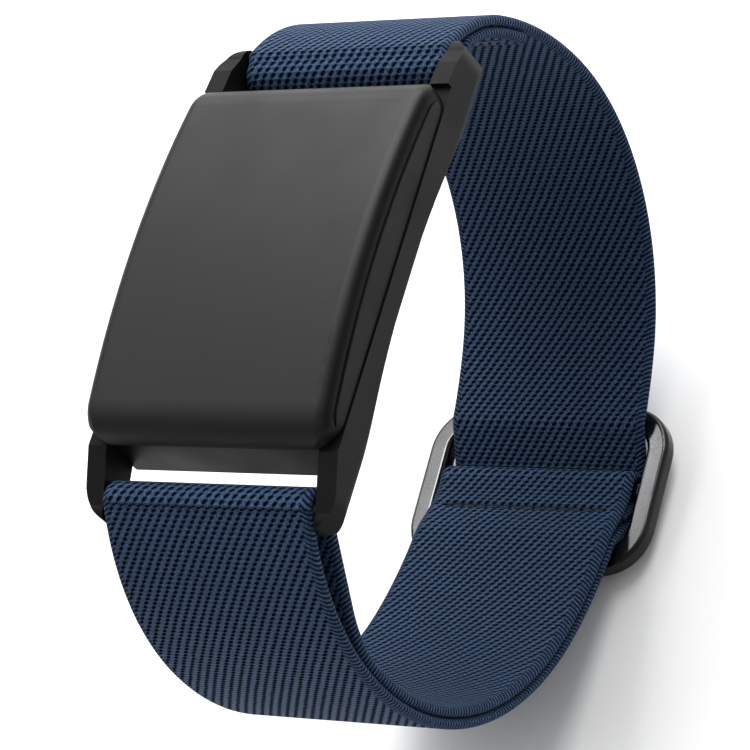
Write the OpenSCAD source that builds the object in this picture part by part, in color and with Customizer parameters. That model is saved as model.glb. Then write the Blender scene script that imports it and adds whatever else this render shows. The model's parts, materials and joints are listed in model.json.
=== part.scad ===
// Fitness tracker band: a screenless tracker case on a looped elastic webbing strap.
// Frame: +X along the wrist, +Y from the lower lugs to the upper lugs, +Z out of the
// tracker's face. The origin is the centre of the opening that the wrist fills.

/* [Case] */
// Width of the cover across the wrist axis
cover_w = 26.2; // [25.6:0.1:26.4]
// Length of the cover between its two rolled ends
cover_l = 36.4; // [36:0.1:37]
// Height of the cover's crown above the origin
cover_top = 31.1; // [30.8:0.1:31.6]
// Wall thickness of the cover
cover_wall = 0.9; // [0.7:0.1:1]
// Radius of the crown along the case
crown_r = 90; // [80:1:120]
// Radius of the rolled ends
end_roll_r = 3.5; // [3:0.1:4]
// Radius of the rolled long edges
side_roll_r = 1.3; // [1:0.1:1.6]
// Width of the frame over its lugs
frame_w = 26.5; // [26.4:0.1:27]
// Length of the frame over its lug tips
frame_l = 48.6; // [48:0.1:49.4]
// Wall thickness of the sensor pod
pod_wall = 0.8; // [0.6:0.1:1]

/* [Strap] */
// Width of the woven strap
strap_w = 22; // [20:0.1:22]
// Thickness of one layer of the strap
strap_t = 1; // [0.9:0.05:1.05]
// Outer radius of the long arc opposite the case
base_r = 46; // [45.5:0.5:46.5]

/* [Slider] */
// Width of the slider ring across the strap
slider_w = 27.2; // [27:0.1:28]
// Length of the slider ring along the strap
slider_l = 17.7; // [17:0.1:18.5]
// Corner radius of the slider ring
slider_corner = 5; // [4:0.1:6]
// Place of the slider on the long arc, in degrees from its lowest point
slider_rest = 2; // [1:0.5:3]

/* [Spring bars] */
// Outer radius of a spring bar's tube
bar_r = 0.9; // [0.8:0.05:0.95]
// Radius of a spring bar's tip
tip_r = 0.5; // [0.4:0.05:0.55]
// Distance of each bar from the middle of the case
bar_y = 22.2; // [22:0.1:22.4]
// Height of each bar above the origin
bar_z = 23.6; // [23.4:0.1:23.8]

/* [Hidden] */
$fn = 96;
eps = 0.01;

// Case heights
seam_z = 26.8;             // lower edge of the cover, on top of the adhesive film
film_t = 0.1;
frame_top = seam_z - film_t;
skirt_step = 0.2;          // the skirt stands proud of the rolled edge by this much
skirt_drop = 1.5;          // and starts this far below the crown
lug_low = 21.9;            // lower edge of the lugs
side_low_r = 1.6;          // and the roundness of their outer lower corners
lug_in = 11.25;            // inner face of the lugs, clear of the strap's edge
frame_corner = 3;
cover_corner = 2.8;
wall_in_y = 15.9;          // inner face of the frame's end walls
wall_out_y = 18;
wall_low = 21.7;           // the end walls hang below the rails
rail_in = 11.6;            // inner face of the side rails
rail_low = 24.4;           // lower edge of the rails at mid length
rail_arch_r = 81;          // the rails' lower edge is a shallow arch
tip_low_r = 1.3;           // the lower lugs droop to a slim tip
tip_low_z = 23.2;
tip_top_r = 1.7;           // the upper lugs stay deep to their tip
tip_top_z = 24.5;
lug_back_r = 1.7;
cavity_w = 23.4;
cavity_l = 31.9;
cavity_corner = 2.7;

// Pod
pod_w = 23;
pod_l = 31.6;
pod_corner = 2.6;
pod_top = 28.6;
pod_split = 22.6;
pod_low = 21;
pod_back_step = 0.9;
gasket_t = 0.5;
window_w = 15;
window_l = 13;
window_corner = 2;
window_t = 0.9;
board_z = 23.4;
board_t = 0.8;
battery_z = 24.6;
battery_h = 3;
battery_l = 18;
battery_y = -3.8;
motor_r = 4;
motor_h = 2.4;
motor_y = 10.5;
part_h = 0.7;              // height of the optical parts under the board
contact_y = -12.2;
contact_pitch = 3;
contact_r = 0.7;

// Strap path: arcs about centres, each angle counted from straight down towards +Y
layer_gap = 0.1;
base_left = -20;           // ends of the long arc
base_right = 19;
side_left_r = 29;
side_left_end = -95;
shoulder_left_r = 25;
shoulder_left_end = -140;
side_right_r = 26;
side_right_end = 95;
upper_right_r = 35;
upper_right_end = 119;
shoulder_right_r = 15.5;
shoulder_right_end = 158;
base_c = [2.9, -24.2 + base_r];

function out(f) = [sin(f), -cos(f)];
function next_c(c, r0, r1, f) = c + (r0 - r1) * out(f);
function face_angle(v) = atan2(v[0], -v[1]);

side_left_c = next_c(base_c, base_r, side_left_r, base_left);
shoulder_left_c = next_c(side_left_c, side_left_r, shoulder_left_r, side_left_end);
side_right_c = next_c(base_c, base_r, side_right_r, base_right);
upper_right_c = next_c(side_right_c, side_right_r, upper_right_r, side_right_end);
shoulder_right_c = next_c(upper_right_c, upper_right_r, shoulder_right_r, upper_right_end);

// Folds round the spring bars
fold_in = bar_r + 0.05;
fold_out = fold_in + strap_t;
fold_mid = fold_in + strap_t / 2;
low_bar = [-bar_y, bar_z];
top_bar = [bar_y, bar_z];
inner_depth = strap_t + layer_gap;

// The inner layer leaves the side arc, bends in and runs straight to the lower bar
bend_r = 12;
bend_c = next_c(side_left_c, side_left_r - inner_depth - strap_t / 2, bend_r, side_left_end);
bend_span = norm(bend_c - low_bar);
bend_dir = (bend_c - low_bar) / bend_span;
bend_tilt = acos((bend_r + fold_mid) / bend_span);
fold_normal = [
    bend_dir[0] * cos(bend_tilt) - bend_dir[1] * sin(bend_tilt),
    bend_dir[0] * sin(bend_tilt) + bend_dir[1] * cos(bend_tilt)
];
fold_leave = face_angle(fold_normal);
fold_step = 15;            // degrees between profile points on a fold
run_step = 3;              // degrees between profile points on a long arc

// The flap leaves the upper bar, bends and lies against the inside of the run
flap_bend_r = 1.6;
flap_meet = 144.5;         // heading of the run where the flap comes to lie on it
flap_end = 112;
flap_mid_r = shoulder_right_r - inner_depth - strap_t / 2;
flap_upper_r = upper_right_r - inner_depth - strap_t / 2;
flap_c = next_c(shoulder_right_c, flap_mid_r, flap_bend_r, flap_meet);
flap_span = norm(flap_c - top_bar);
flap_leave = face_angle((flap_c - top_bar) / flap_span)
    - acos((flap_bend_r + fold_mid) / flap_span) + 360;

// Slider and sewn end loop, in the slider's own frame: depth counts from the long
// arc's centre, and run counts along the strap from the middle of the slider
ring_w = 2.3;
ring_t = 1.9;
ring_edge = 0.5;
ring_depth = base_r + 1;
centre_bar_w = 2;
centre_bar_t = 0.9;
centre_bar_depth = ring_depth - 0.25;
loop_t = 0.95;
loop_w = strap_w - 0.2;
inner_leg_r = centre_bar_depth - centre_bar_t / 2 - 0.05;
loop_edge = centre_bar_w / 2 - centre_bar_t / 2;
loop_turn_r = centre_bar_t / 2 + 0.05 + loop_t / 2;
free_end_t = 0.7;
free_end_l = 2.9;
seam_s = -3.1;             // place of the stitched seam along the slider
leg_level_s = -1.3;
seam_mid_r = 44.8;
slope_end = -6.8;
leaf_t = 0.5;
leaf_r = base_r - inner_depth - strap_t - 0.15;
leaf_end_angle = -21;
inner_layer_end = slider_rest - 11.8;

// Bight: the run dips outwards round the middle bar and back over the ring's end bars
bight_end = 9.5;
bight_leaf_t = 0.35;
run_leaf_t = 0.4;
leaf_step = 0.05;
travel_back = 3;
travel_on = 4;
bight_leaf_on = bight_end + travel_on + 0.3 + travel_back + 0.5;
bight_leaf_back = bight_end + travel_back + 0.3 + travel_on + 0.5;
run_thin_on = slider_rest + bight_end + travel_on + 0.3;
run_full_on = base_right + (slider_rest + bight_leaf_on + travel_on + 0.4 - base_right)
    * base_r / side_right_r;
run_thin_back = slider_rest - bight_end - travel_back - 0.3;
run_full_back = slider_rest - bight_leaf_back - travel_back - 0.3;
dip_r = loop_turn_r + loop_t / 2 + 0.05 + strap_t / 2;
dip_c = [loop_edge, -centre_bar_depth];
hump_c = [
    slider_l / 2 - ring_w + ring_edge, -(ring_depth - ring_t / 2 + ring_edge)
];
hump_r = norm(hump_c) - (base_r - strap_t / 2);
hump_angle = face_angle(hump_c);
bight_slope = asin((dip_r + hump_r) / norm(hump_c - dip_c))
    + atan2(hump_c[1] - dip_c[1], hump_c[0] - dip_c[0]);

// Spring bars
bar_half = 10.9;
bar_bore = 0.7;
lip_l = 0.4;
lip_r = 0.55;
flange_r = 0.64;
flange_l = 0.8;
flange_gap = 0.1;
tip_end = 12.3;
lug_bore_r = tip_r + 0.05;
lug_bore_l = 1.2;
press_travel = 1.1;
coil_r = 0.45;
wire_r = 0.12;
coil_turns = 14;

// ---- helpers ----------------------------------------------------------------

// A rounded rectangle made of squares and true circles
module round_rect(w, l, r) {
    square([w - 2 * r, l], center = true);
    square([w, l - 2 * r], center = true);
    for (x = [-1, 1], y = [-1, 1])
        translate([x * (w / 2 - r), y * (l / 2 - r)]) circle(r);
}

module slab(w, l, r, z0, z1) {
    translate([0, 0, z0]) linear_extrude(z1 - z0) round_rect(w, l, r);
}

// Draws children about an axis along X through [y, z], from angle f0 to f1
module about_x(c, f0, f1) {
    translate([0, c[0], c[1]])
        rotate([0, 90, 0])
            rotate([0, 0, f0])
                rotate_extrude(angle = f1 - f0) children();
}

// A station on a strap's middle line: its point, its heading and half its thickness
function station(p, f, h) = [p, f, h];

// Stations on an arc about c, the first one left out; the strap turns left as its
// heading grows and right as it falls
function arc_path(c, r, f0, f1, step, h) =
    let (n = ceil(abs(f1 - f0) / step), turn = f1 > f0 ? 1 : -1)
    [for (i = [1:n]) let (f = f0 + (f1 - f0) * i / n) station(c + turn * r * out(f), f, h)];

// Side outline of a strap that follows a list of stations
module strap_profile(path, w) {
    last = len(path) - 1;
    rotate([90, 0, 90]) linear_extrude(w, center = true)
        polygon(concat(
            [for (p = path) p[0] + p[2] * out(p[1])],
            [for (i = [last:-1:0]) path[i][0] - path[i][2] * out(path[i][1])]
        ));
}

// ---- case -------------------------------------------------------------------

crown_c = [0, cover_top - crown_r];
roll_y = cover_l / 2 - end_roll_r;
roll_angle = asin(roll_y / (crown_r - end_roll_r));
roll_z = crown_c[1] + (crown_r - end_roll_r) * cos(roll_angle);

// Half outline across the case from radius r0 out to a rolled edge at radius r1
module rolled_section(r0, r1) {
    half = cover_w / 2 - skirt_step;
    intersection() {
        translate([r0, -half]) square([r1 - r0, 2 * half]);
        union() {
            translate([r0, -half]) square([r1 - side_roll_r - r0, 2 * half]);
            translate([r0, -half + side_roll_r])
                square([r1 - r0, 2 * (half - side_roll_r)]);
            for (s = [-1, 1])
                translate([r1 - side_roll_r, s * (half - side_roll_r)]) circle(side_roll_r);
        }
    }
}

module top_cover() {
    color("#3a3a3c") difference() {
        intersection() {
            slab(cover_w, cover_l, cover_corner, seam_z, cover_top + 1);
            union() {
                about_x(crown_c, 180 - roll_angle, 180 + roll_angle)
                    rolled_section(crown_r - 6, crown_r);
                for (s = [-1, 1])
                    about_x([s * roll_y, roll_z], 0, 360) rolled_section(0, end_roll_r);
                about_x(crown_c, 180 - roll_angle, 180 + roll_angle)
                    translate([crown_r - 6, -cover_w / 2])
                        square([6 - skirt_drop, cover_w]);
                for (s = [-1, 1])
                    about_x([s * roll_y, roll_z], 0, 360)
                        translate([0, -cover_w / 2])
                            square([end_roll_r - skirt_drop, cover_w]);
            }
        }
        // seat of the pod, and a shallower pocket that follows the crown
        slab(cavity_w, cavity_l, cavity_corner, seam_z - 1, pod_top + 0.1);
        intersection() {
            slab(cavity_w - 1, 26, cavity_corner, pod_top - 1, cover_top);
            translate([0, 0, crown_c[1]]) rotate([0, 90, 0])
                cylinder(r = crown_r - cover_wall, h = cover_w, center = true);
        }
    }
}

// Bonding film between the cover and the frame
module cover_adhesive() {
    color("#202020") difference() {
        slab(cover_w - 0.6, cover_l - 1.4, cover_corner, frame_top, seam_z);
        slab(cavity_w, cavity_l, cavity_corner, frame_top - 1, seam_z + 1);
    }
}

// Side view of the frame: arched rails in the middle and a lug at each end
module frame_side() {
    tip_low_y = frame_l / 2 - tip_low_r;
    tip_top_y = frame_l / 2 - tip_top_r;
    difference() {
        union() {
            polygon([
                [-tip_low_y, lug_low], [17, lug_low], [frame_l / 2 - lug_back_r, lug_low + 0.3],
                [tip_top_y, tip_top_z + tip_top_r], [tip_top_y - 1.8, frame_top + 0.3],
                [cover_l / 2 + 0.1, frame_top + 0.6], [cover_l / 2 + 0.1, frame_top],
                [-cover_l / 2, frame_top], [-tip_low_y, tip_low_z + tip_low_r]
            ]);
            translate([-tip_low_y, tip_low_z]) circle(tip_low_r);
            translate([tip_top_y, tip_top_z]) circle(tip_top_r);
            translate([frame_l / 2 - lug_back_r, lug_low + 0.3 + lug_back_r]) circle(lug_back_r);
        }
        translate([0, rail_low - rail_arch_r]) circle(rail_arch_r, $fn = 360);
    }
}

// End view of the frame: upright sides with round lower corners
module frame_end() {
    half = frame_w / 2;
    r = side_low_r;
    low = lug_low - eps + r;
    polygon(concat(
        [[-half, frame_top + 1]],
        [for (a = [180:10:270]) [r - half + r * cos(a), low + r * sin(a)]],
        [for (a = [270:10:360]) [half - r + r * cos(a), low + r * sin(a)]],
        [[half, frame_top + 1]]
    ));
}

module lug_frame() {
    color("#1c1c1e") difference() {
        union() {
            intersection() {
                rotate([90, 0, 90])
                    linear_extrude(frame_w, center = true) frame_side();
                rotate([90, 0, 0])
                    linear_extrude(frame_l, center = true) frame_end();
                slab(frame_w, frame_l, frame_corner, lug_low - 1, frame_top + 1);
            }
            for (s = [-1, 1])
                translate([-lug_in, s > 0 ? wall_in_y : -wall_out_y, wall_low])
                    cube([2 * lug_in, wall_out_y - wall_in_y, 3]);
        }
        // opening that the pod fills
        slab(2 * rail_in, 2 * wall_in_y, pod_corner + 0.1, 0, frame_top + 2);
        // gaps between the lugs for the strap
        for (s = [-1, 1])
            translate([-lug_in, s > 0 ? wall_out_y : -frame_l, 0])
                cube([2 * lug_in, frame_l - wall_out_y, frame_top + 5]);
        // blind bores for the spring bar tips
        for (y = [-bar_y, bar_y], s = [-1, 1])
            translate([s * lug_in, y, bar_z]) rotate([0, s * 90, 0])
                cylinder(r = lug_bore_r, h = lug_bore_l, $fn = 48);
        // pockets for the latch springs
        for (s = [-1, 1])
            translate([s * (rail_in + 0.2), 0, 25.6]) cube([0.8, 9, 1.4], center = true);
    }
}

// Two bowed leaf springs that bear on the pod's flanks
module latch_springs() {
    color("silver") for (s = [-1, 1]) {
        translate([s * (rail_in + 0.4), 0, 25.6]) cube([0.3, 8.4, 1.2], center = true);
        intersection() {
            translate([s * (rail_in + 0.9), 0, 25]) cylinder(r = 1.3, h = 1.2, $fn = 64);
            translate([s * (rail_in + 0.1), 0, 25.6]) cube([0.34, 4, 1.2], center = true);
        }
    }
}

// ---- sensor pod -------------------------------------------------------------

module pod_shell() {
    color("#141416") difference() {
        slab(pod_w, pod_l, pod_corner, pod_split, pod_top);
        slab(pod_w - 2 * pod_wall, pod_l - 2 * pod_wall, pod_corner - pod_wall,
             pod_split - 1, pod_top - pod_wall);
    }
}

module pod_back_cover() {
    color("#101012") difference() {
        union() {
            slab(pod_w - 2 * pod_back_step, pod_l - 2 * pod_back_step,
                 pod_corner - pod_back_step, pod_low, pod_split);
            slab(pod_w, pod_l, pod_corner, pod_low + pod_back_step, pod_split);
        }
        // hollow above the plate
        slab(pod_w - 5 * pod_wall, pod_l - 5 * pod_wall, 1.2, pod_low + 1, pod_split + 1);
        // seat and aperture of the optical window
        slab(window_w + 0.04, window_l + 0.04, window_corner, pod_low - 1,
             pod_low + window_t - 0.2);
        slab(window_w - 1.6, window_l - 1.6, window_corner - 0.8, pod_low - 1, pod_split);
        // groove for the gasket
        difference() {
            slab(pod_w - 1.2, pod_l - 1.2, pod_corner - 0.6, pod_split - 0.3, pod_split + 1);
            slab(pod_w - 2.6, pod_l - 2.6, pod_corner - 1.3, pod_split - 1, pod_split + 2);
        }
        for (k = [-1.5:1.5])
            translate([k * contact_pitch, contact_y, pod_low - 1])
                cylinder(r = contact_r, h = 4, $fn = 48);
    }
}

module pod_gasket() {
    color("#303030") difference() {
        slab(pod_w - 1.24, pod_l - 1.24, pod_corner - 0.62, pod_split - 0.28, pod_split);
        slab(pod_w - 2.56, pod_l - 2.56, pod_corner - 1.28, pod_split - 1, pod_split + 1);
    }
}

module sensor_window() {
    color("#08080a") {
        slab(window_w, window_l, window_corner, pod_low, pod_low + window_t - 0.22);
        slab(window_w - 1.66, window_l - 1.66, window_corner - 0.83,
             pod_low + window_t - 0.3, pod_low + window_t);
    }
}

// Black ridge grid that keeps the light of the emitters off the detectors
module light_barrier() {
    low = pod_low + window_t + 0.05;
    color("#181818") difference() {
        slab(13, 11, 1.5, low, board_z - 0.05);
        for (x = [-1, 1]) translate([x * 4.1, 0, 0]) slab(3.6, 9.4, 0.6, low - 1, board_z + 1);
        slab(3.4, 9.4, 0.6, low - 1, board_z + 1);
    }
}

module sensor_leds() {
    color("#d8e8c8") for (y = [-2.8, 0, 2.8])
        translate([0, y, board_z - part_h / 2 - 0.02]) cube([1.8, 1.6, part_h], center = true);
}

module photodiodes() {
    color("#405060") for (x = [-1, 1], y = [-2.2, 2.2])
        translate([x * 4.1, y, board_z - part_h / 2 - 0.02])
            cube([2.8, 3.2, part_h], center = true);
}

module circuit_board() {
    color("#0f5030") {
        slab(19.6, 28.6, 1.5, board_z, board_z + board_t);
        // shielded chips on the upper face
        translate([-8.6, 6.4, board_z + board_t - eps]) cube([8, 4.4, 0.9]);
        translate([-8.6, 11.6, board_z + board_t - eps]) cube([5, 1.8, 0.7]);
    }
}

module battery_cell() {
    color("#9aa0a8") translate([0, battery_y, 0])
        slab(18.4, battery_l, 1.2, battery_z, battery_z + battery_h);
}

module haptic_motor() {
    color("silver") translate([4.9, motor_y, board_z + board_t + 0.05])
        cylinder(r = motor_r, h = motor_h);
}

module charging_contacts() {
    color("gold") for (k = [-1.5:1.5])
        translate([k * contact_pitch, contact_y, pod_low]) {
            cylinder(r = contact_r - 0.03, h = 1.2, $fn = 48);
            translate([0, 0, 1.1]) cylinder(r = 0.4, h = board_z - pod_low - 1.15, $fn = 32);
        }
}

// ---- strap ------------------------------------------------------------------

strap_blue = "#26406a";

// The strap is one length of webbing, drawn as four nodes because its end and the
// bight in the slider move. Front run: inner layer, fold round the lower bar and the
// outer run down to the slider, where it thins to pass under the bight's leaf.
module strap_front_run() {
    h = strap_t / 2;
    inner_base = base_r - inner_depth - h;
    inner_side = side_left_r - inner_depth - h;
    turn = 180;
    begin = turn + inner_layer_end;
    thin_r = base_r - run_leaf_t / 2;
    path = concat(
        [station(base_c - inner_base * out(begin), begin, h)],
        arc_path(base_c, inner_base, begin, turn + base_left, run_step, h),
        arc_path(side_left_c, inner_side, turn + base_left, turn + side_left_end, run_step, h),
        arc_path(bend_c, bend_r, turn + side_left_end, fold_leave, run_step, h),
        [station(low_bar + fold_mid * out(fold_leave), fold_leave, h)],
        arc_path(low_bar, fold_mid, fold_leave, shoulder_left_end + 360, fold_step, h),
        arc_path(shoulder_left_c, shoulder_left_r - h, shoulder_left_end, side_left_end,
                 run_step, h),
        arc_path(side_left_c, side_left_r - h, side_left_end, base_left, run_step, h),
        arc_path(base_c, base_r - h, base_left, run_full_back, run_step, h),
        [station(base_c + thin_r * out(run_full_back + leaf_step),
                 run_full_back + leaf_step, run_leaf_t / 2)],
        arc_path(base_c, thin_r, run_full_back + leaf_step, run_thin_back, run_step,
                 run_leaf_t / 2)
    );
    color(strap_blue) strap_profile(path, strap_w);
}

// Rear run: from the slider up behind the wrist, the fold round the upper bar and the
// flap sewn back inside it
module strap_rear_run() {
    h = strap_t / 2;
    turn = 180;
    thin_r = side_right_r - run_leaf_t / 2;
    thin_base_r = base_r - run_leaf_t / 2;
    path = concat(
        [station(base_c + thin_base_r * out(run_thin_on), run_thin_on, run_leaf_t / 2)],
        arc_path(base_c, thin_base_r, run_thin_on, base_right, run_step, run_leaf_t / 2),
        arc_path(side_right_c, thin_r, base_right, run_full_on, run_step, run_leaf_t / 2),
        arc_path(side_right_c, side_right_r - h, run_full_on + leaf_step, side_right_end,
                 run_step, h),
        arc_path(upper_right_c, upper_right_r - h, side_right_end, upper_right_end,
                 run_step, h),
        arc_path(shoulder_right_c, shoulder_right_r - h, upper_right_end,
                 shoulder_right_end, run_step, h),
        arc_path(top_bar, fold_mid, shoulder_right_end, flap_leave, fold_step, h),
        [station(flap_c - flap_bend_r * out(flap_leave), flap_leave, h)],
        arc_path(flap_c, flap_bend_r, flap_leave, turn + flap_meet, fold_step, h),
        arc_path(shoulder_right_c, flap_mid_r, turn + flap_meet, turn + upper_right_end,
                 run_step, h),
        arc_path(upper_right_c, flap_upper_r, turn + upper_right_end, turn + flap_end,
                 run_step, h)
    );
    color(strap_blue) strap_profile(path, strap_w);
}

module top_fold_stitching() {
    at = flap_end + 2.5;
    mid = upper_right_c + (flap_upper_r + strap_t / 2 - strap_t) * out(at);
    color("#16263f") for (k = [-6.5:6.5])
        translate([k * 1.4, mid[0], mid[1]])
            rotate([0, 90, 0]) cylinder(r = 0.18, h = 1, center = true, $fn = 24);
}

// ---- slider -----------------------------------------------------------------

module in_slider() {
    translate([0, base_c[0], base_c[1]]) rotate([slider_rest, 0, 0]) children();
}

function run_angle(s) = s / base_r * 180 / PI;

// A flat-sided bar with rounded edges, bent into a rounded rectangle of w by l
module ring_bar(w, l, corner) {
    hx = (w - ring_w) / 2;
    hy = (l - ring_w) / 2;
    c = corner - ring_w / 2;
    for (s = [-1, 1]) {
        translate([s * hx, 0, 0]) rotate([90, 0, 0])
            linear_extrude(2 * (hy - c), center = true) round_rect(ring_w, ring_t, ring_edge);
        translate([0, s * hy, 0]) rotate([90, 0, 90])
            linear_extrude(2 * (hx - c), center = true) round_rect(ring_w, ring_t, ring_edge);
    }
    for (k = [0:3])
        translate([(k == 0 || k == 3 ? 1 : -1) * (hx - c), (k < 2 ? 1 : -1) * (hy - c), 0])
            rotate([0, 0, 90 * k])
                rotate_extrude(angle = 90)
                    translate([c, 0]) round_rect(ring_w, ring_t, ring_edge);
}

module slider_frame() {
    reach = slider_w - ring_w;
    color("#4a4a4e") in_slider() {
        translate([0, 0, -ring_depth]) ring_bar(slider_w, slider_l, slider_corner);
        translate([0, 0, -centre_bar_depth]) {
            cube([reach, 2 * loop_edge, centre_bar_t], center = true);
            for (s = [-1, 1]) translate([0, s * loop_edge, 0]) rotate([0, 90, 0])
                cylinder(d = centre_bar_t, h = reach, center = true);
        }
    }
}

// The part of the run that is threaded through the slider
module strap_bight() {
    h = strap_t / 2;
    c = [0, 0];
    run_mid = base_r - h;
    leaf_mid = base_r - strap_t + bight_leaf_t / 2;
    back = [-1, 1];
    dip_back = [dip_c[0] * back[0], dip_c[1]];
    hump_back = [hump_c[0] * back[0], hump_c[1]];
    path = concat(
        [station(c + leaf_mid * out(-bight_leaf_back), -bight_leaf_back, bight_leaf_t / 2)],
        arc_path(c, leaf_mid, -bight_leaf_back, -bight_end - leaf_step, run_step,
                 bight_leaf_t / 2),
        [station(c + run_mid * out(-bight_end), -bight_end, h)],
        [station(c + run_mid * out(-hump_angle), -hump_angle, h)],
        arc_path(hump_back, hump_r, -hump_angle, -bight_slope, fold_step / 2, h),
        [station(dip_back + dip_r * out(-bight_slope), -bight_slope, h)],
        arc_path(dip_back, dip_r, -bight_slope, 0, fold_step / 2, h),
        [station(dip_c + dip_r * out(0), 0, h)],
        arc_path(dip_c, dip_r, 0, bight_slope, fold_step / 2, h),
        [station(hump_c - hump_r * out(bight_slope), bight_slope, h)],
        arc_path(hump_c, hump_r, bight_slope, hump_angle, fold_step / 2, h),
        [station(c + run_mid * out(bight_end), bight_end, h)],
        [station(c + leaf_mid * out(bight_end + leaf_step), bight_end, bight_leaf_t / 2)],
        arc_path(c, leaf_mid, bight_end + leaf_step, bight_leaf_on, run_step,
                 bight_leaf_t / 2)
    );
    color(strap_blue) in_slider() strap_profile(path, strap_w);
}

// The strap's end, folded round the slider's middle bar and sewn to itself
module strap_end_loop() {
    h = loop_t / 2;
    c = [0, 0];
    turn = 180;
    edge = run_angle(loop_edge);
    inner_mid = inner_leg_r - h;
    leaf_mid = leaf_r - leaf_t / 2;
    level = turn + run_angle(leg_level_s);
    seam = turn + run_angle(seam_s);
    slope_to = turn + run_angle(slope_end);
    dip_back = [-loop_edge, -centre_bar_depth];
    free_from = dip_back + loop_turn_r * out(-bight_slope);
    free_way = [cos(bight_slope), -sin(bight_slope)];
    path = concat(
        [station(free_from - free_end_l * free_way, -bight_slope, free_end_t / 2)],
        [station(free_from, -bight_slope, h)],
        arc_path(dip_back, loop_turn_r, -bight_slope, 0, fold_step, h),
        [station(dip_c + loop_turn_r * out(0), 0, h)],
        arc_path(dip_c, loop_turn_r, 0, turn, fold_step, h),
        [station(c - inner_mid * out(level), level, h)],
        [station(c - seam_mid_r * out(seam), seam - 24, h)],
        [station(c - leaf_mid * out(slope_to), slope_to, leaf_t / 2)],
        arc_path(c, leaf_mid, slope_to, turn + leaf_end_angle, run_step, leaf_t / 2)
    );
    color(strap_blue) in_slider() strap_profile(path, loop_w);
}

module loop_stitching() {
    color("#16263f") in_slider() for (k = [-6:6])
        translate([k * 1.4, seam_s, -seam_mid_r + loop_t / 2])
            rotate([0, 90, 0]) cylinder(r = 0.18, h = 1, center = true, $fn = 24);
}

// ---- spring bars ------------------------------------------------------------

module bar_tube(c) {
    color("silver") translate([0, c[0], c[1]]) rotate([0, 90, 0]) difference() {
        cylinder(r = bar_r, h = 2 * bar_half, center = true, $fn = 64);
        cylinder(r = bar_bore, h = 2 * (bar_half - lip_l), center = true, $fn = 64);
        cylinder(r = lip_r, h = 3 * bar_half, center = true, $fn = 64);
    }
}

module bar_tip(c, side) {
    flange_end = bar_half - lip_l - flange_gap;
    color("gainsboro") translate([0, c[0], c[1]]) rotate([0, side * 90, 0]) {
        translate([0, 0, flange_end - flange_l])
            cylinder(r = flange_r, h = flange_l, $fn = 64);
        translate([0, 0, flange_end - eps])
            cylinder(r = tip_r, h = tip_end - flange_end + eps, $fn = 64);
    }
}

// Compression spring, drawn as a row of coils on a thin sleeve, at the length it has
// with both tips pressed in
module bar_spring(c) {
    half = bar_half - lip_l - flange_gap - flange_l - press_travel - 0.05 - wire_r;
    pitch = 2 * half / (coil_turns - 1);
    color("silver") translate([0, c[0], c[1]]) rotate([0, 90, 0])
        rotate_extrude($fn = 48) {
            translate([coil_r - wire_r / 2, -half]) square([wire_r, 2 * half]);
            for (k = [0:coil_turns - 1])
                translate([coil_r, k * pitch - half]) circle(r = wire_r, $fn = 24);
        }
}

top_cover();
cover_adhesive();
lug_frame();
latch_springs();
pod_shell();
pod_back_cover();
pod_gasket();
sensor_window();
light_barrier();
sensor_leds();
photodiodes();
circuit_board();
battery_cell();
haptic_motor();
charging_contacts();
strap_front_run();
strap_rear_run();
strap_bight();
top_fold_stitching();
strap_end_loop();
loop_stitching();
slider_frame();
bar_tube(low_bar);  // bottom_bar_tube
bar_spring(low_bar);  // bottom_bar_spring
bar_tip(low_bar, -1);  // bottom_bar_tip_left
bar_tip(low_bar, 1);  // bottom_bar_tip_right
bar_tube(top_bar);  // top_bar_tube
bar_spring(top_bar);  // top_bar_spring
bar_tip(top_bar, -1);  // top_bar_tip_left
bar_tip(top_bar, 1);  // top_bar_tip_right
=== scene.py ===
# %% [markdown]
# # Fitness tracker band
# A slim tracker without a screen, on a long woven strap that runs round the wrist,
# through a metal slider and back. The hard parts come from the CAD frame and only get
# finishes here. The strap is cloth, so it is modelled again: a smooth ribbon swept
# along the strap's real path, with its weave in the finish.

# %% Load the frame
import json
import math

import bpy
from mathutils import Matrix, Vector


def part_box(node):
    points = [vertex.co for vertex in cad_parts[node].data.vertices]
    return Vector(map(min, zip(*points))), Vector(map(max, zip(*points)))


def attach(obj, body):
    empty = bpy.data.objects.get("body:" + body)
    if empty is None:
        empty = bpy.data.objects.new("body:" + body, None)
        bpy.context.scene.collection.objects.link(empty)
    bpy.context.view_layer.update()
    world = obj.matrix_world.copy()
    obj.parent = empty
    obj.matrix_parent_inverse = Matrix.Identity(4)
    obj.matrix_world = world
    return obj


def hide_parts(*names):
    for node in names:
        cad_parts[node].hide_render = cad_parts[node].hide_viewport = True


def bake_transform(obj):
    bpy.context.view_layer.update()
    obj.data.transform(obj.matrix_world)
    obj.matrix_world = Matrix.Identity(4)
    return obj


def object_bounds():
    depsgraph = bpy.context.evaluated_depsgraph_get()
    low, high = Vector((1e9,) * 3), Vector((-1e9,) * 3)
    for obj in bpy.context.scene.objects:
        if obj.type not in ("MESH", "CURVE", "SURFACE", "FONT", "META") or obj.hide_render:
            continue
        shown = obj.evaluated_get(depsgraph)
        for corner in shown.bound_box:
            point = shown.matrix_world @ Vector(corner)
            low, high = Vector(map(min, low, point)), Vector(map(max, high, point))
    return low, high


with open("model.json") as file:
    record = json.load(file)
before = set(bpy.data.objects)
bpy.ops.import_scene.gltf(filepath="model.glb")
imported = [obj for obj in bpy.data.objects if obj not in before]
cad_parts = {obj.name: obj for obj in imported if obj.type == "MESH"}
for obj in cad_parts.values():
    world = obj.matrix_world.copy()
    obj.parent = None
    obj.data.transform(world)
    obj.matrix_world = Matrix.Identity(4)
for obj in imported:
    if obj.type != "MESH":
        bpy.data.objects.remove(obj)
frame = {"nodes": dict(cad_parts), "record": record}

MM = 0.001
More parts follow.
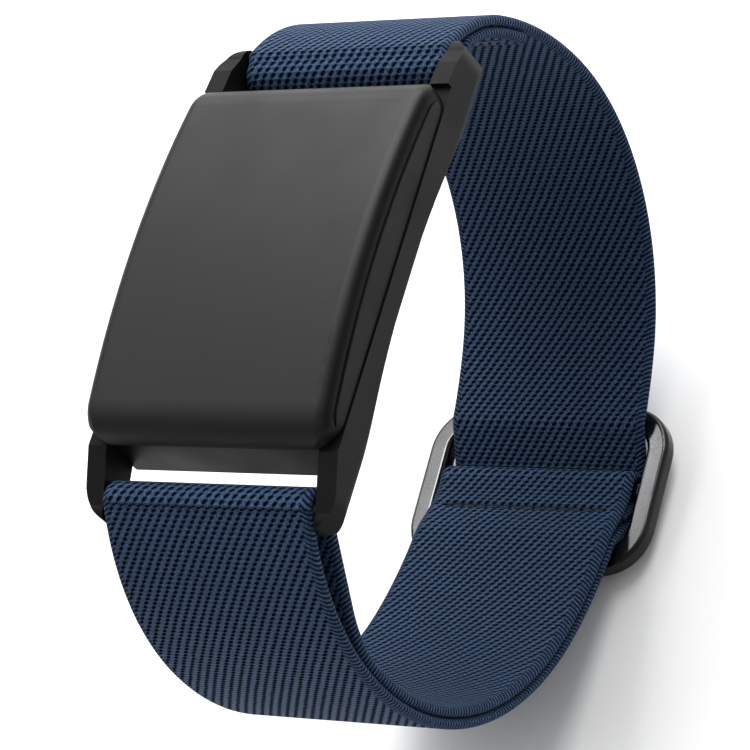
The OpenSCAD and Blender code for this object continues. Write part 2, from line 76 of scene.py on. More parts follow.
cad_low, cad_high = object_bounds()
nodes = frame["nodes"]
print("frame:", len(nodes), "nodes, box", [round(v / MM, 1) for v in cad_high - cad_low], "mm")

# %% [markdown]
# ## Camera
# The tracker is seen from the wearer's side, above its lower end, and the camera is
# rolled so that the case stands almost upright in the picture. A long lens keeps the
# two halves of the loop nearly the same size.

# %% Camera
aim = Vector((0.1, -0.2, 7.1)) * MM
eye = Vector((182.7, -133.4, 254.4)) * MM
picture_up = Vector((-0.0120, 0.8767, 0.4809))
lens = 174.1

def look_from(eye, aim, up):
    """A camera's rotation: -Z to the aim, +Y as near to up as it can be."""
    back = (eye - aim).normalized()
    right = up.cross(back).normalized()
    return Matrix((right, back.cross(right), back)).transposed().to_4x4()

camera_data = bpy.data.cameras.new("camera")
camera_data.lens = lens
camera_data.sensor_width = 36
camera_data.clip_start = 0.01
camera = bpy.data.objects.new("camera", camera_data)
camera.matrix_world = Matrix.Translation(eye) @ look_from(eye, aim, picture_up)
bpy.context.scene.collection.objects.link(camera)
bpy.context.scene.camera = camera
print("camera at", [round(v / MM) for v in eye], "mm, lens", lens, "mm")

# %% [markdown]
# ## The strap's path
# Seen from the side, the strap is a chain of arcs that meet without a corner. A point
# on the path is a station: a place in the Y-Z plane and a heading. The strap's outer
# side lies to the right of its heading, so one station gives both faces.

# %% Arcs and stations
def outward(heading):
    """The unit vector to the right of a heading, in degrees from +Y towards +Z."""
    a = math.radians(heading)
    return Vector((math.sin(a), -math.cos(a)))

def next_centre(centre, radius, new_radius, heading):
    """Centre of an arc that carries on from another without a corner."""
    return centre + (radius - new_radius) * outward(heading)

def arc(centre, radius, start, end, step=0.5):
    """Stations along an arc, a step in mm apart; it turns left if end is over start."""
    turn = 1 if end > start else -1
    count = max(2, math.ceil(abs(math.radians(end - start)) * radius / step))
    headings = [start + (end - start) * i / count for i in range(count + 1)]
    return [(centre + turn * radius * outward(h), h) for h in headings]

def straight(start, end, heading, step=0.5):
    """Stations along a straight stretch, its two ends left out."""
    count = max(2, math.ceil((end - start).length / step))
    return [(start.lerp(end, i / count), heading) for i in range(1, count)]

def middle(node):
    """Centre of a node's box in the Y-Z plane, in mm."""
    low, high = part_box(node)
    return Vector(((low.y + high.y) / 2, (low.z + high.z) / 2)) / MM

strap_low, strap_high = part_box("strap_front_run")
strap_w = (strap_high.x - strap_low.x) / MM
strap_t = 1.0
low_bar = middle("bottom_bar_tube")
top_bar = middle("top_bar_tube")
print("strap", round(strap_w, 2), "mm wide; bars at", low_bar, top_bar)

# %% The loop's arcs
base_r, side_left_r, shoulder_left_r = 46, 29, 25
side_right_r, upper_right_r, shoulder_right_r = 26, 35, 15.5
base_left, base_right = -20, 19
side_left_end, shoulder_left_end = -95, -140
side_right_end, upper_right_end, shoulder_right_end = 95, 119, 158
base_c = Vector((2.9, 21.8))
side_left_c = next_centre(base_c, base_r, side_left_r, base_left)
shoulder_left_c = next_centre(side_left_c, side_left_r, shoulder_left_r, side_left_end)
side_right_c = next_centre(base_c, base_r, side_right_r, base_right)
upper_right_c = next_centre(side_right_c, side_right_r, upper_right_r, side_right_end)
shoulder_right_c = next_centre(upper_right_c, upper_right_r, shoulder_right_r,
                               upper_right_end)
half_t = strap_t / 2
fold_r = 0.95 + half_t
inner_depth = strap_t + 0.1

around_left = (
    arc(shoulder_left_c, shoulder_left_r - half_t, shoulder_left_end, side_left_end)
    + arc(side_left_c, side_left_r - half_t, side_left_end, base_left)[1:]
)
around_right = (
    arc(side_right_c, side_right_r - half_t, base_right, side_right_end)
    + arc(upper_right_c, upper_right_r - half_t, side_right_end, upper_right_end)[1:]
    + arc(shoulder_right_c, shoulder_right_r - half_t, upper_right_end,
          shoulder_right_end)[1:]
)
print("outer run", len(around_left) + len(around_right), "stations beside the slider")

# %% [markdown]
# The strap turns round a spring bar at each end. At the upper bar a short flap is sewn
# back against the inside of the run. At the lower bar the strap comes back as an inner
# layer, which leaves the bar in a straight line, bends and then lies on the outer run
# until it reaches the slider.

# %% Folds, flap and inner layer
def tangent_heading(centre, radius, bar):
    """Heading of the straight that leaves a fold round a bar for an outside bend."""
    to_bend = centre - bar
    normal = to_bend.normalized()
    normal.rotate(Matrix.Rotation(math.acos((radius + fold_r) / to_bend.length), 2))
    return math.degrees(math.atan2(normal.x, -normal.y))

flap_bend_r, flap_meet, flap_end = 1.6, 144.5, 112
flap_mid_r = shoulder_right_r - inner_depth - half_t
flap_upper_r = upper_right_r - inner_depth - half_t
flap_c = next_centre(shoulder_right_c, flap_mid_r, flap_bend_r, flap_meet)
to_flap = (flap_c - top_bar).normalized()
to_flap.rotate(Matrix.Rotation(-math.acos((flap_bend_r + fold_r)
                                          / (flap_c - top_bar).length), 2))
flap_leave = 360 + math.degrees(math.atan2(to_flap.x, -to_flap.y))
flap_start = top_bar + fold_r * outward(flap_leave)
flap_bend = arc(flap_c, flap_bend_r, flap_leave, 180 + flap_meet)
flap_lap = (
    arc(shoulder_right_c, flap_mid_r, 180 + flap_meet, 180 + upper_right_end)
    + arc(upper_right_c, flap_upper_r, 180 + upper_right_end, 180 + flap_end)[1:]
)
top_fold = (
    arc(top_bar, fold_r, shoulder_right_end, flap_leave, 0.25)[1:]
    + straight(flap_start, flap_bend[0][0], flap_leave)
    + flap_bend + flap_lap[1:]
)

bend_r = 12
inner_side_r = side_left_r - inner_depth - half_t
bend_c = next_centre(side_left_c, inner_side_r, bend_r, side_left_end)
fold_leave = tangent_heading(bend_c, bend_r, low_bar)
split = 120
bottom_fold_outer = arc(low_bar, fold_r, split, 360 + shoulder_left_end, 0.25)[:-1]
bottom_fold_inner = arc(low_bar, fold_r, fold_leave, split, 0.25)
bend = arc(bend_c, bend_r, 180 + side_left_end, fold_leave)
print("flap leaves its bar heading", round(flap_leave), "and the inner layer",
      round(fold_leave, 1), "degrees")

# %% [markdown]
# The slider is a ring with a flat bar across its middle. The end of the inner layer is
# folded round that bar and sewn to itself, and the outer run dips below both and comes
# back over the ring's ends. These stations belong to the slider, so they are worked out
# in its own frame and then turned to where it sits on the long arc.

# %% Slider frame
slider_low, slider_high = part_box("slider_frame")
slider_rest, slider_l = 2.0, 17.7
ring_w, ring_t, ring_edge = 2.3, 1.9, 0.5
ring_depth = base_r + 1
bar_half_l, bar_t, loop_t = 0.55, 0.9, 0.95
bar_depth = ring_depth - 0.25

def run_angle(length):
    """Degrees round the long arc for a length of strap in mm."""
    return math.degrees(length / base_r)

def on_slider(point, heading):
    """A station given in the slider's frame, in the row frame."""
    place = point.copy()
    place.rotate(Matrix.Rotation(math.radians(slider_rest), 2))
    return (base_c + place, heading + slider_rest)

print("slider is", round((slider_high.x - slider_low.x) / MM, 1), "mm wide")

# %% The run's dip through the ring
centre = Vector((0, 0))
loop_turn_r = bar_t / 2 + 0.05 + loop_t / 2
dip_r = loop_turn_r + loop_t / 2 + 0.05 + half_t
dip_c = Vector((bar_half_l, -bar_depth))
hump_c = Vector((slider_l / 2 - ring_w + ring_edge, -(ring_depth - ring_t / 2 + ring_edge)))
hump_r = hump_c.length - (base_r - half_t)
hump_angle = math.degrees(math.atan2(hump_c.x, -hump_c.y))
span = hump_c - dip_c
dip_slope = math.degrees(math.asin((dip_r + hump_r) / span.length)
                         + math.atan2(span.y, span.x))
dip_on = (
    arc(dip_c, dip_r, 0, dip_slope, 0.25)
    + straight(dip_c + dip_r * outward(dip_slope), hump_c - hump_r * outward(dip_slope),
               dip_slope, 0.25)
    + arc(hump_c, hump_r, dip_slope, hump_angle, 0.25)
)
dip_on = [(centre + Vector((0, -bar_depth - dip_r)), 0)] + dip_on
dip_back = [(Vector((-p.x, p.y)), -h) for p, h in dip_on[::-1]]
front_outer = (
    bottom_fold_outer + around_left
    + arc(base_c, base_r - half_t, base_left, slider_rest - hump_angle)[1:-1]
    + [on_slider(p, h) for p, h in dip_back]
)
rear_outer = (
    [on_slider(p, h) for p, h in dip_on]
    + arc(base_c, base_r - half_t, slider_rest + hump_angle, base_right)[1:]
    + around_right[1:] + top_fold
)
print("the run dips at", round(dip_slope), "degrees through the slider")

# %% End loop
slope_start, slope_end, free_end_l = -0.9, -7.2, 2.9
lap_r = base_r - inner_depth - half_t
leg_r = bar_depth - loop_turn_r
bar_back = Vector((-bar_half_l, -bar_depth))
free_from = bar_back + loop_turn_r * outward(-dip_slope)
free_way = Vector((math.cos(math.radians(dip_slope)), -math.sin(math.radians(dip_slope))))
end_loop = (
    [(free_from - free_end_l * (1 - i / 6) * free_way, -dip_slope) for i in range(6)]
    + arc(bar_back, loop_turn_r, -dip_slope, 0, 0.25)
    + arc(dip_c, loop_turn_r, 0, 180, 0.25)
)
slope_count = 48
for i in range(slope_count + 1):
    t = i / slope_count
    ease = t * t * (3 - 2 * t)
    angle = 180 + run_angle(slope_start + (slope_end - slope_start) * t)
    radius = leg_r * (1 - ease) + lap_r * ease
    lean = math.degrees(math.atan2(6 * t * (1 - t) * (leg_r - lap_r),
                                   slope_start - slope_end))
    end_loop.append((centre - radius * outward(angle), angle - lean))
loop_part = [on_slider(p, h) for p, h in end_loop]

# %% Inner layer
inner_run = (
    loop_part
    + arc(base_c, lap_r, loop_part[-1][1], 180 + base_left)[1:]
    + arc(side_left_c, inner_side_r, 180 + base_left, 180 + side_left_end)[1:]
    + bend[1:]
    + straight(bend[-1][0], bottom_fold_inner[0][0], fold_leave)
    + bottom_fold_inner
)

def length(stations):
    """Length of a chain of stations, in mm."""
    return sum((a[0] - b[0]).length for a, b in zip(stations, stations[1:]))

print("outer strap", round(length(front_outer) + length(rear_outer)), "mm, inner layer",
      round(length(inner_run)), "mm")

# %% [markdown]
# ## The ribbon
# Webbing is a flat cloth with a firm rounded edge, the selvage, down each side. The
# ribbon is one cross-section repeated at every station. Two things are stored on its
# points for the finish: where the point lies on the strap, in mm across and along, and
# which face it is on.

# %% Cross-section
flat_t = 0.5
edge_round = 0.55

def half_thickness(x):
    """Half the strap's thickness at x mm from its middle, for a strap 1 mm thick."""
    inside = min(1.0, (strap_w / 2 - abs(x)) / edge_round)
    return flat_t * math.sqrt(max(0.0, 1 - (1 - inside) ** 2))

half_w = strap_w / 2
rib_steps, flat_steps = 8, 22
rib_xs = [half_w - edge_round * (1 - math.cos(math.pi / 2 * i / rib_steps))
          for i in range(rib_steps)]
flat_x = half_w - edge_round
xs = (rib_xs + [flat_x * (1 - 2 * i / flat_steps) for i in range(flat_steps + 1)]
      + [-x for x in rib_xs[::-1]])
section = ([(-x, half_thickness(x), 1) for x in xs]
           + [(x, -half_thickness(x), -1) for x in xs[1:-1]])
print("cross-section of", len(section), "points,", len(rib_xs), "on each rounded edge")

# %% [markdown]
# A ribbon is closed at both ends, so it is a solid piece of cloth and not a skin.
# Where a row of stitches pulls two layers together, the face sinks a little: press
# says how deep at a length along the strap and a place across it.

# %% Sweep the ribbon
def ribbon(name, stations, body, start_at=0.0, press=lambda run, x: 0.0):
    """A strap along stations, with where each point lies on the cloth stored on it."""
    verts, cloth, run = [], [], start_at
    for i, (place, heading) in enumerate(stations):
        if i:
            run += (place - stations[i - 1][0]).length
        out = outward(heading)
        for x, depth, side in section:
            depth -= press(run, x) if side > 0 else 0.0
            at = place + depth * strap_t * out
            verts.append(Vector((x, at.x, at.y)) * MM)
            cloth.append((x, run, side))
    n = len(section)
    faces = [(i * n + k, (i + 1) * n + k, (i + 1) * n + (k + 1) % n, i * n + (k + 1) % n)
             for i in range(len(stations) - 1) for k in range(n)]
    faces += [tuple(range(n)), tuple(range(len(verts) - 1, len(verts) - n - 1, -1))]
    mesh = bpy.data.meshes.new(name)
    mesh.from_pydata(verts, [], faces)
    mesh.attributes.new("cloth", "FLOAT_VECTOR", "POINT").data.foreach_set(
        "vector", [c for point in cloth for c in point])
    mesh.polygons.foreach_set("use_smooth", [True] * len(faces))
    mesh.update()
    piece = bpy.data.objects.new(name, mesh)
    bpy.context.scene.collection.objects.link(piece)
    print(name, len(verts), "points,", round(run - start_at), "mm long")
    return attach(piece, body)

seam_at, seam_w, seam_depth, seam_half = -3.1, 0.26, 0.4, 9.0
seam_t = (seam_at - slope_start) / (slope_end - slope_start)
seam_ease = seam_t * seam_t * (3 - 2 * seam_t)
seam_place = on_slider(centre - (leg_r * (1 - seam_ease) + lap_r * seam_ease)
                       * outward(180 + run_angle(seam_at)), 180)[0]
nearest = min(range(len(inner_run)), key=lambda i: (inner_run[i][0] - seam_place).length)
seam_run = length(inner_run[:nearest + 1])

def loop_press(run, x):
    """How far the stitched seam sinks the face towards the wrist."""
    across = max(0.0, 1 - max(0.0, abs(x) - seam_half) / 0.6)
    return seam_depth * across * math.exp(-((run - seam_run) / seam_w) ** 2)

run_start = length(inner_run)
strap_front = ribbon("strap_front", front_outer, "case_and_strap", run_start)
strap_rear = ribbon("strap_rear", rear_outer, "case_and_strap",
                    run_start + length(front_outer))
strap_inner = ribbon("strap_inner_layer", inner_run, "slider", 0.0, loop_press)

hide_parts("strap_front_run")
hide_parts("strap_rear_run", "strap_bight")
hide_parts("strap_end_loop")

# %% [markdown]
# ## Stitching
# Two rows of thread hold the end loop shut, and two hold the flap at the upper bar.
# Each stitch is a short length of spun thread that dips into the cloth at both ends, so
# it is made as a tube that is thickest in its middle and bowed out of the surface.

# %% Stitches
thread_r, stitch_l, row_gap = 0.1, 1.3, 0.28

def stitch_row(name, replaced, body, place, heading, rows, reach_x):
    """Rows of stitches across the strap, on the inner side of a station."""
    verts, faces, rings, sides = [], [], 9, 8
    out = outward(heading)
    way = Vector((-out.y, out.x))
    pitch = stitch_l * 1.04
    count = int(2 * reach_x / pitch)
    for row in range(rows):
        shift = (row - (rows - 1) / 2) * row_gap
        for k in range(count):
            middle_x = (k - (count - 1) / 2) * pitch + (row % 2) * 0.3
            base = len(verts)
            for i in range(rings):
                t = i / (rings - 1) * 2 - 1
                bow = 0.07 * (1 - t * t)
                radius = thread_r * (1 - 0.45 * t ** 4)
                for j in range(sides):
                    a = 2 * math.pi * j / sides
                    at = place + way * (shift + radius * math.cos(a)) \
                        - out * (bow + radius * math.sin(a) * 0.8)
                    verts.append(Vector((middle_x + t * stitch_l / 2, at.x, at.y)) * MM)
            for i in range(rings - 1):
                for j in range(sides):
                    a, b = base + i * sides + j, base + i * sides + (j + 1) % sides
                    faces.append((a, b, b + sides, a + sides))
            faces.append(tuple(range(base + sides - 1, base - 1, -1)))
            faces.append(tuple(range(len(verts) - sides, len(verts))))
    mesh = bpy.data.meshes.new(name)
    mesh.from_pydata(verts, [], faces)
    mesh.polygons.foreach_set("use_smooth", [True] * len(faces))
    piece = bpy.data.objects.new(name, mesh)
    bpy.context.scene.collection.objects.link(piece)
    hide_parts(replaced)
    print(name, rows * count, "stitches")
    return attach(piece, body)

seam_station = inner_run[nearest]
seam_out = outward(seam_station[1])
loop_stitches = stitch_row("loop_stitches", "loop_stitching", "slider",
                           seam_station[0] + seam_out * (half_t - seam_depth),
                           seam_station[1] + 180, 2, seam_half)
flap_at, flap_heading = flap_lap[-6]
flap_stitches = stitch_row("flap_stitches", "top_fold_stitching", "case_and_strap",
                           flap_at + half_t * outward(flap_heading), flap_heading + 180,
                           2, 9.6)

# %% [markdown]
# The strap crosses the joint of the slider in three places: the inner layer and both
# ends of the run go with the slider where it grips them and stay with the case further
# off. In between the cloth slides along itself. Here the three pieces are only taken off
# their bodies, with their placing baked into their points.

for piece in (strap_front, strap_rear, strap_inner):
    piece.parent = None
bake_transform(strap_front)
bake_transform(strap_rear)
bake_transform(strap_inner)

# %% [markdown]
# ## Finishes
# A finish is a small graph of nodes. Most of them are arithmetic on a position, so one
# helper makes a node and wires what it is given into it.

# %% Node helpers
def new_finish(name):
    """An empty node material with its node tree and its shader."""
    finish = bpy.data.materials.new(name)
    finish.use_nodes = True
    tree = finish.node_tree
    shader = tree.nodes["Principled BSDF"]
    return finish, tree, shader

def node(tree, kind, inputs=None, **settings):
    """A node of a kind, with settings, and with values or sockets for its inputs."""
    made = tree.nodes.new("ShaderNode" + kind)
    for key, value in settings.items():
        setattr(made, key, value)
    for key, value in (inputs or {}).items():
        if isinstance(value, bpy.types.NodeSocket):
            tree.links.new(value, made.inputs[key])
        else:
            made.inputs[key].default_value = value
    return made

def calc(tree, operation, a, b=0.0, c=0.0):
    """One step of arithmetic on sockets or numbers."""
    return node(tree, "Math", {0: a, 1: b, 2: c}, operation=operation).outputs[0]

def wave(tree, turns):
    """0 to 1 and back for every whole turn, highest at whole numbers."""
    cosine = calc(tree, "COSINE", calc(tree, "MULTIPLY", turns, 2 * math.pi))
    return calc(tree, "MULTIPLY_ADD", cosine, 0.5, 0.5)

def ramp(tree, value, low, high, to_low=0.0, to_high=1.0, smooth=True):
    """Maps a range of values to another, clamped."""
    return node(tree, "MapRange", {"Value": value, "From Min": low, "From Max": high,
                                   "To Min": to_low, "To Max": to_high},
                interpolation_type="SMOOTHSTEP" if smooth else "LINEAR").outputs[0]

def noise(tree, scale, detail=2.0, roughness=0.5, vector=None):
    """Noise in object space, with scale in features a metre."""
    where = vector or node(tree, "TexCoord").outputs["Object"]
    return node(tree, "TexNoise", {"Vector": where, "Scale": scale, "Detail": detail,
                                   "Roughness": roughness}).outputs["Fac"]

def mix(tree, factor, a, b):
    """A blend of two colours."""
    made = node(tree, "Mix", data_type="RGBA")
    for key, value in (("Factor", factor), ("A", a), ("B", b)):
        socket = [s for s in made.inputs if s.name == key and s.enabled][0]
        if isinstance(value, bpy.types.NodeSocket):
            tree.links.new(value, socket)
        else:
            socket.default_value = value
    return [s for s in made.outputs if s.enabled][0]

# %% [markdown]
# The strap is a twill: on each face the cords run in steep diagonals, 0.92 mm apart
# across the strap, and one pick, a crosswise thread, comes every 0.45 mm. Each pick
# shifts the pattern by a third. Between the cords, the picks leave small pores. The
# colour follows the height of the weave: the pores and the valleys between the cords are
# painted near-black as painted shade, and the raised cords get streaks of painted
# highlight. On the other face the same twill runs the other way when seen through the
# cloth.

# %% Woven strap
cord_pitch, pick_pitch = 0.92, 0.45
cord_lean = cord_pitch / 3 / pick_pitch
selvage_w = 0.75
# The darkest navy is painted shade for the pores, the valleys between cords and the seam's
# groove; the brightest navy is a painted highlight on the raised cords.
painted_shade_navy = (0.0015, 0.002, 0.004, 1)
cord_navy = (0.009, 0.024, 0.058, 1)
painted_highlight_navy = (0.060, 0.118, 0.235, 1)

def woven_finish(name):
    """Navy elastic webbing, from the stored place on the cloth."""
    finish, tree, shader = new_finish(name)
    cloth = node(tree, "Attribute", attribute_name="cloth").outputs["Vector"]
    wobble = node(tree, "TexNoise", {"Vector": cloth, "Scale": 0.9, "Detail": 2.0})
    drift = node(tree, "VectorMath", {0: wobble.outputs["Color"], "Scale": 0.16},
                 operation="SCALE")
    place = node(tree, "VectorMath", {0: cloth, 1: drift.outputs[0]}, operation="ADD")
    raw = node(tree, "SeparateXYZ", {0: cloth})
    moved = node(tree, "SeparateXYZ", {0: place.outputs[0]})
    across, along_cloth = moved.outputs[0], moved.outputs[1]
    face = calc(tree, "SIGN", raw.outputs[2])
    lean = calc(tree, "MULTIPLY", calc(tree, "MULTIPLY", along_cloth, cord_lean), face)
    cord = wave(tree, calc(tree, "DIVIDE", calc(tree, "ADD", across, lean), cord_pitch))
    pick = wave(tree, calc(tree, "DIVIDE", along_cloth, pick_pitch))
    valley = calc(tree, "POWER", calc(tree, "SUBTRACT", 1.0, cord), 2.0)
    gap = calc(tree, "SUBTRACT", 1.0, pick)
    pore = calc(tree, "MULTIPLY", valley, calc(tree, "POWER", gap, 0.8))
    bead = calc(tree, "MULTIPLY", gap, 0.16)
    body_height = calc(tree, "SUBTRACT", calc(tree, "MULTIPLY_ADD", valley, -0.3, 1.0),
                       calc(tree, "MULTIPLY_ADD", pore, 0.75, bead))

    # selvage: fine slanted ridges round the edge
    from_edge = calc(tree, "SUBTRACT", strap_w / 2, calc(tree, "ABSOLUTE", raw.outputs[0]))
    rib_turns = calc(tree, "DIVIDE", calc(tree, "ADD", along_cloth,
                     calc(tree, "MULTIPLY", from_edge, 0.6)), pick_pitch)
    rib = wave(tree, rib_turns)
    in_body = ramp(tree, from_edge, selvage_w - 0.12, selvage_w + 0.18)
    height = calc(tree, "ADD", calc(tree, "MULTIPLY", body_height, in_body),
                  calc(tree, "MULTIPLY", calc(tree, "MULTIPLY_ADD", rib, 0.35, 0.5),
                       calc(tree, "SUBTRACT", 1.0, in_body)))

    # fibres along the cords, and slow changes of shade
    stretch = node(tree, "Mapping", {"Vector": cloth, "Scale": (9.0, 4.0, 1.0)})
    fibre = node(tree, "TexNoise", {"Vector": stretch.outputs[0], "Scale": 1.0,
                                    "Detail": 3.0, "Roughness": 0.7}).outputs["Fac"]
    patch = node(tree, "TexNoise", {"Vector": cloth, "Scale": 0.35,
                                    "Detail": 2.0}).outputs["Fac"]
    # Painted shade and highlight: low points of the weave go to near-black, raised cords to the
    # cord navy with streaks of painted highlight.
    light = ramp(tree, height, 0.46, 0.84)
    cord_with_highlight = mix(tree, ramp(tree, fibre, 0.38, 0.72), cord_navy, painted_highlight_navy)
    shade = mix(tree, light, painted_shade_navy, cord_with_highlight)
    final = mix(tree, ramp(tree, patch, 0.3, 0.7, 0.0, 0.12), shade, cord_navy)
    # Painted shade: darker in a narrow band along the stitched seam, where the face sinks into
    # a groove.
    off_seam = calc(tree, "ABSOLUTE", calc(tree, "SUBTRACT", raw.outputs[1], seam_run))
    seam = calc(tree, "MULTIPLY", ramp(tree, off_seam, 0.12, 0.42, 0.85, 0.0),
                ramp(tree, from_edge, half_w - seam_half - 0.2, half_w - seam_half))
    tree.links.new(mix(tree, seam, final, painted_shade_navy), shader.inputs["Base Color"])
    tree.links.new(ramp(tree, fibre, 0.2, 0.8, 0.62, 0.85), shader.inputs["Roughness"])
    full = calc(tree, "MULTIPLY_ADD", fibre, 0.18, height)
    bump = node(tree, "Bump", {"Height": full, "Distance": 0.0003, "Strength": 1.0})
    tree.links.new(bump.outputs[0], shader.inputs["Normal"])
    tree.links.new(calc(tree, "MULTIPLY", light, 0.2), shader.inputs["Specular IOR Level"])
    shader.inputs["Sheen Weight"].default_value = 0.05
    shader.inputs["Sheen Roughness"].default_value = 0.5
    shader.inputs["Sheen Tint"].default_value = (0.35, 0.5, 0.9, 1)
    return finish

webbing = woven_finish("navy_webbing")
for piece in (strap_front, strap_rear, strap_inner):
    piece.data.materials.append(webbing)
print("weave: cords every", cord_pitch, "mm, picks every", pick_pitch, "mm")

# %% [markdown]
# The thread is the same navy, twisted, with a soft shine along each stitch.

# %% Thread
def thread_finish(name):
    """Spun polyester thread with its twist as fine slanted lines."""
    finish, tree, shader = new_finish(name)
    where = node(tree, "SeparateXYZ", {0: node(tree, "TexCoord").outputs["Object"]})
    slant = calc(tree, "ADD", where.outputs[0], calc(tree, "MULTIPLY", where.outputs[1], 1.4))
    twist = wave(tree, calc(tree, "MULTIPLY", slant, 8000.0))
    tree.links.new(mix(tree, twist, (0.012, 0.022, 0.05, 1), (0.035, 0.062, 0.13, 1)),
                   shader.inputs["Base Color"])
    tree.links.new(ramp(tree, twist, 0.0, 1.0, 0.6, 0.45), shader.inputs["Roughness"])
    bump = node(tree, "Bump", {"Height": twist, "Distance": 0.00003})
    tree.links.new(bump.outputs[0], shader.inputs["Normal"])
    return finish

thread = thread_finish("navy_thread")
for piece in (loop_stitches, flap_stitches):
    piece.data.materials.append(thread)
print("thread on", len(loop_stitches.data.polygons) + len(flap_stitches.data.polygons), "faces")

# %% [markdown]
# Hard finishes share one recipe: a base colour that varies a little, a roughness with
# fine grain, and a shallow bump at the scale of the coating or of the tool marks.

# %% Hard finishes
def hard_finish(name, dark, pale, rough, metal=0.0, grain=9000.0, bump_depth=0.000006,
                stretch=(1, 1, 1), spec=0.5, coat=0.0):
    """A coated, moulded or turned surface; grain is in features a metre."""
    finish, tree, shader = new_finish(name)
    where = node(tree, "Mapping", {"Vector": node(tree, "TexCoord").outputs["Object"],
                                   "Scale": stretch}).outputs[0]
    fine = noise(tree, grain, 3.0, 0.6, where)
    slow = noise(tree, 140.0, 2.0, 0.5, where)
    blend_by = calc(tree, "MULTIPLY_ADD", fine, 0.5, calc(tree, "MULTIPLY", slow, 0.5))
    tree.links.new(mix(tree, ramp(tree, blend_by, 0.3, 0.7), (*dark, 1), (*pale, 1)),
                   shader.inputs["Base Color"])
    tree.links.new(ramp(tree, slow, 0.3, 0.7, rough * 0.9, rough * 1.12),
                   shader.inputs["Roughness"])
    bump = node(tree, "Bump", {"Height": fine, "Distance": bump_depth})
    tree.links.new(bump.outputs[0], shader.inputs["Normal"])
    shader.inputs["Metallic"].default_value = metal
    shader.inputs["Specular IOR Level"].default_value = spec
    shader.inputs["Coat Weight"].default_value = coat
    return finish

finishes = {
    "cover_graphite": hard_finish("cover_graphite", (0.0065, 0.0065, 0.0068),
                                  (0.0075, 0.0075, 0.0078), 0.44, spec=0.2),
    # The frame's graphite is a darker copy of the cover's: painted shade for the side walls,
    # which face away from the light.
    "frame_graphite": hard_finish("frame_graphite", (0.0035, 0.0035, 0.0037),
                                  (0.0045, 0.0045, 0.0047), 0.45, spec=0.08),
    "adhesive_film": hard_finish("adhesive_film", (0.02, 0.02, 0.02), (0.03, 0.03, 0.03), 0.7),
    "pod_black": hard_finish("pod_black", (0.010, 0.010, 0.011), (0.016, 0.016, 0.017), 0.55,
                             grain=5000.0, bump_depth=0.00001),
    "gasket_rubber": hard_finish("gasket_rubber", (0.02, 0.02, 0.02), (0.03, 0.03, 0.03), 0.8,
                                 grain=4000.0, bump_depth=0.00002),
    "dark_window": hard_finish("dark_window", (0.004, 0.004, 0.005), (0.006, 0.006, 0.007),
                               0.07, grain=600.0, bump_depth=0.000001, coat=0.6),
    "barrier_black": hard_finish("barrier_black", (0.01, 0.01, 0.01), (0.015, 0.015, 0.015),
                                 0.75),
    "led_lens": hard_finish("led_lens", (0.6, 0.72, 0.42), (0.75, 0.85, 0.6), 0.15, coat=0.5),
    "detector_glass": hard_finish("detector_glass", (0.02, 0.035, 0.06), (0.04, 0.06, 0.09),
                                  0.1, coat=0.5),
    "board_green": hard_finish("board_green", (0.008, 0.06, 0.02), (0.014, 0.1, 0.035), 0.35,
                               grain=2500.0),
    "battery_foil": hard_finish("battery_foil", (0.42, 0.43, 0.45), (0.56, 0.57, 0.6), 0.32,
                                metal=1.0, grain=1500.0, bump_depth=0.00002),
    "motor_steel": hard_finish("motor_steel", (0.45, 0.45, 0.46), (0.6, 0.6, 0.61), 0.3,
                               metal=1.0, stretch=(1, 1, 8)),
    "contact_gold": hard_finish("contact_gold", (0.75, 0.5, 0.16), (0.9, 0.65, 0.28), 0.22,
                                metal=1.0),
    "slider_gunmetal": hard_finish("slider_gunmetal", (0.14, 0.14, 0.145),
                                   (0.18, 0.18, 0.185), 0.2, metal=1.0, grain=7000.0,
                                   bump_depth=0.000002),
    "bar_steel": hard_finish("bar_steel", (0.5, 0.5, 0.5), (0.62, 0.62, 0.62), 0.28,
                             metal=1.0, stretch=(12, 1, 1)),
    "spring_steel": hard_finish("spring_steel", (0.4, 0.4, 0.4), (0.55, 0.55, 0.55), 0.3,
                                metal=1.0, stretch=(1, 6, 6)),
}

# %% [markdown]
# Two pieces are not one even shade: both get painted shade. The slider's rim is painted
# darker than its flat faces, and the cover's side walls are painted darker than its face,
# as shade on the faces turned from the light. Both follow from where a face points.

# %% Painted shade on the sides
def paint_side_shade(finish, axis, low, high, amount):
    """Paints shade on the faces whose normal has a given share, low to high, along an axis."""
    tree = finish.node_tree
    shader = tree.nodes["Principled BSDF"]
    normal = node(tree, "SeparateXYZ", {0: node(tree, "TexCoord").outputs["Normal"]})
    share = calc(tree, "ABSOLUTE", normal.outputs[axis])
    factor = ramp(tree, share, low, high, 0.0, amount)
    plain = shader.inputs["Base Color"].links[0].from_socket
    tree.links.new(mix(tree, factor, plain, (0.003, 0.003, 0.0032, 1)),
                   shader.inputs["Base Color"])
    tree.links.new(calc(tree, "MULTIPLY_ADD", factor, -0.15, 0.22),
                   shader.inputs["Specular IOR Level"])

# Painted shade: the slider's rim darker than its flat faces.
paint_side_shade(finishes["slider_gunmetal"], 2, 0.985, 0.93, 0.85)
# Painted shade: the cover's side walls darker than its face.
paint_side_shade(finishes["cover_graphite"], 0, 0.45, 0.9, 0.9)
print("darker rim on the slider and darker walls on the cover")

# %% Hand the finishes out
for part in frame["record"]["subparts"]:
    finish = finishes.get(part["material_slot"])
    if finish:
        nodes[part["node"]].data.materials.clear()
        nodes[part["node"]].data.materials.append(finish)
print(len(finishes), "hard finishes")

# %% [markdown]
# ## Floor and light
# A plain pale floor lies under the lowest point of the band. One wide soft light comes
# from the far end of the case, where the upper lugs point, and a weaker one from above
# fills in. The sky is paler towards that far end.

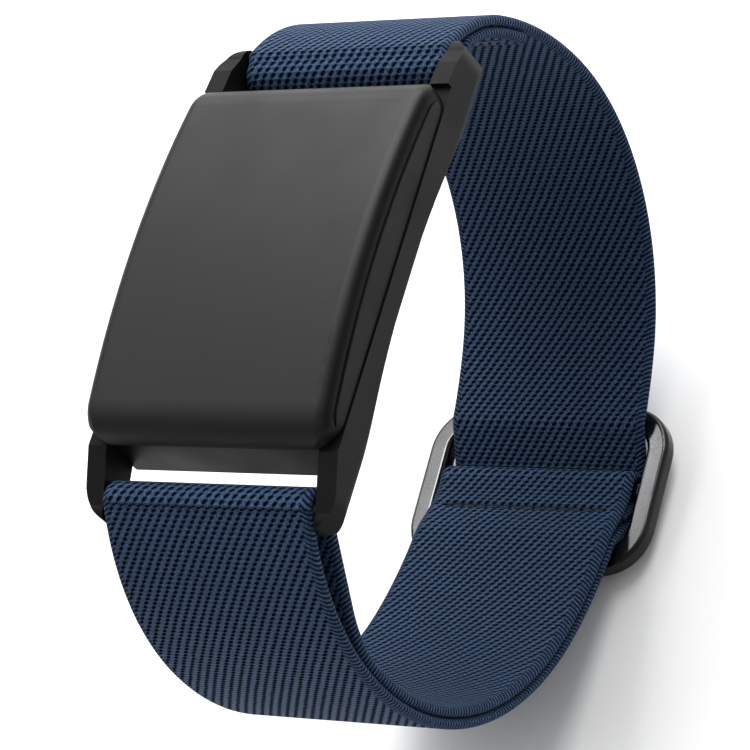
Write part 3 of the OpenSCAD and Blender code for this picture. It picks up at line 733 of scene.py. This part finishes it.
# %% Floor
floor_mesh = bpy.data.meshes.new("floor")
floor_half, floor_z = 2.0, cad_low.z
floor_mesh.from_pydata([(-floor_half, -floor_half, floor_z), (floor_half, -floor_half, floor_z),
                        (floor_half, floor_half, floor_z), (-floor_half, floor_half, floor_z)],
                       [], [(0, 1, 2, 3)])
floor = bpy.data.objects.new("floor", floor_mesh)
bpy.context.scene.collection.objects.link(floor)
floor_finish, floor_tree, floor_shader = new_finish("floor_pale")
speck = noise(floor_tree, 60.0)
floor_tree.links.new(mix(floor_tree, speck, (0.90, 0.90, 0.90, 1), (0.93, 0.93, 0.93, 1)),
                     floor_shader.inputs["Base Color"])
floor_shader.inputs["Roughness"].default_value = 0.9
floor_shader.inputs["Specular IOR Level"].default_value = 0.1
floor_mesh.materials.append(floor_finish)
print("floor at", round(floor_z / MM, 2), "mm")

# %% Lights
def soft_light(name, direction, distance, size, power, colour=(1, 1, 1)):
    """A square soft light that looks at the middle of the band."""
    data = bpy.data.lights.new(name, "AREA")
    data.shape, data.size, data.energy, data.color = "SQUARE", size, power, colour
    light = bpy.data.objects.new(name, data)
    place = Vector(direction).normalized() * distance
    light.matrix_world = Matrix.Translation(place) @ look_from(place, Vector((0, 0, 0)),
                                                                Vector((0.1, 0, 1)))
    bpy.context.scene.collection.objects.link(light)
    return light

soft_light("key", (-0.15, 0.82, 0.75), 0.7, 0.7, 9.0)
soft_light("fill", (-0.5, -0.1, 1.0), 0.9, 0.8, 3.0)
world = bpy.data.worlds.new("studio")
world.use_nodes = True
world.node_tree.nodes["Background"].inputs["Color"].default_value = (1, 1, 1, 1)
sky_way = node(world.node_tree, "SeparateXYZ",
               {0: node(world.node_tree, "TexCoord").outputs["Generated"]})
world.node_tree.links.new(ramp(world.node_tree, sky_way.outputs[1], -0.7, 0.5, 0.34, 0.72),
                          world.node_tree.nodes["Background"].inputs["Strength"])
bpy.context.scene.world = world
bpy.context.scene.view_settings.view_transform = "Standard"
print("two soft lights and a pale sky")
